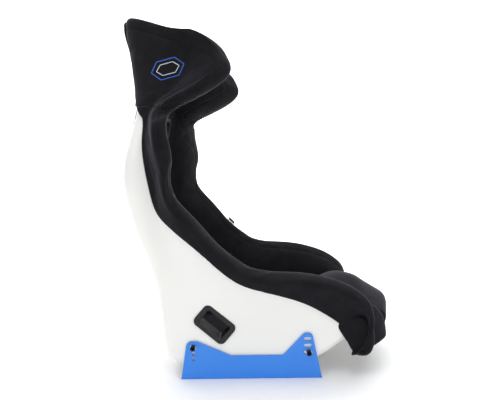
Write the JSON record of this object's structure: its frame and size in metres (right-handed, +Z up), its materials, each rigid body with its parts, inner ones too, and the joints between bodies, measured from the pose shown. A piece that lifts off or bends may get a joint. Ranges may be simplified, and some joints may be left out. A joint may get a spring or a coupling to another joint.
{
  "type": "racing seat",
  "caption": "Fixed-back racing seat: white moulded shell with head wings, black padded fabric trim, lift-out cushion, belt slots and blue side-mount brackets.",
  "frame": {"origin": "centre of the four floor slots, on the plane the bracket feet stand on", "axes": "+X is forward, the way the occupant faces, +Y is the seat's left, +Z is up"},
  "size_m": [0.7183, 0.5536, 0.9197],
  "materials": {
    "gelcoat": "white gelcoat over glass-fibre laminate, polished",
    "cover_fabric": "black brushed knit with a short pile",
    "foam": "dark grey open-cell foam",
    "blue_steel": "bright blue powder coat, satin",
    "black_plastic": "black moulded plastic, fine texture",
    "black_bolt": "black oxide",
    "zinc": "bright zinc plate",
    "insert_steel": "zinc plate, dull",
    "hook_tape": "black hook-and-loop tape",
    "label_cloth": "woven black ribbon, blank"
  },
  "bodies": {
    "seat": {"shell": "gelcoat", "bracket_left": "blue_steel", "bracket_right": "blue_steel", "mount_bolts_left": "black_bolt", "mount_washers_left": "zinc", "mount_spacers_left": "zinc", "threaded_inserts_left": "insert_steel", "lap_bezel_outer_left": "black_plastic", "lap_bezel_inner_left": "black_plastic", "shoulder_bezel_outer_left": "black_plastic", "shoulder_bezel_inner_left": "black_plastic", "thigh_bolster_foam_left": "foam", "thigh_bolster_cover_left": "cover_fabric", "torso_bolster_foam_left": "foam", "torso_bolster_cover_left": "cover_fabric", "head_wing_foam_left": "foam", "head_wing_cover_left": "cover_fabric", "mount_bolts_right": "black_bolt", "mount_washers_right": "zinc", "mount_spacers_right": "zinc", "threaded_inserts_right": "insert_steel", "lap_bezel_outer_right": "black_plastic", "lap_bezel_inner_right": "black_plastic", "shoulder_bezel_outer_right": "black_plastic", "shoulder_bezel_inner_right": "black_plastic", "thigh_bolster_foam_right": "foam", "thigh_bolster_cover_right": "cover_fabric", "torso_bolster_foam_right": "foam", "torso_bolster_cover_right": "cover_fabric", "head_wing_foam_right": "foam", "head_wing_cover_right": "cover_fabric", "crotch_bezel_outer": "black_plastic", "crotch_bezel_inner": "black_plastic", "back_pad_foam": "foam", "back_pad_cover": "cover_fabric", "head_pad_foam": "foam", "head_pad_cover": "cover_fabric", "head_top_roll": "cover_fabric", "head_back_panel": "cover_fabric", "hook_strips": "hook_tape", "fabric_tag": "label_cloth"},
    "seat_cushion": {"seat_cushion_foam": "foam", "seat_cushion_cover": "cover_fabric", "loop_strips": "hook_tape"}
  },
  "joints": [
    {"name": "cushion_lift", "type": "slide", "parent": "seat", "child": "seat_cushion", "axis": [0.4, 0, 0.9165], "range_m": [0, 0.25]}
  ]
}
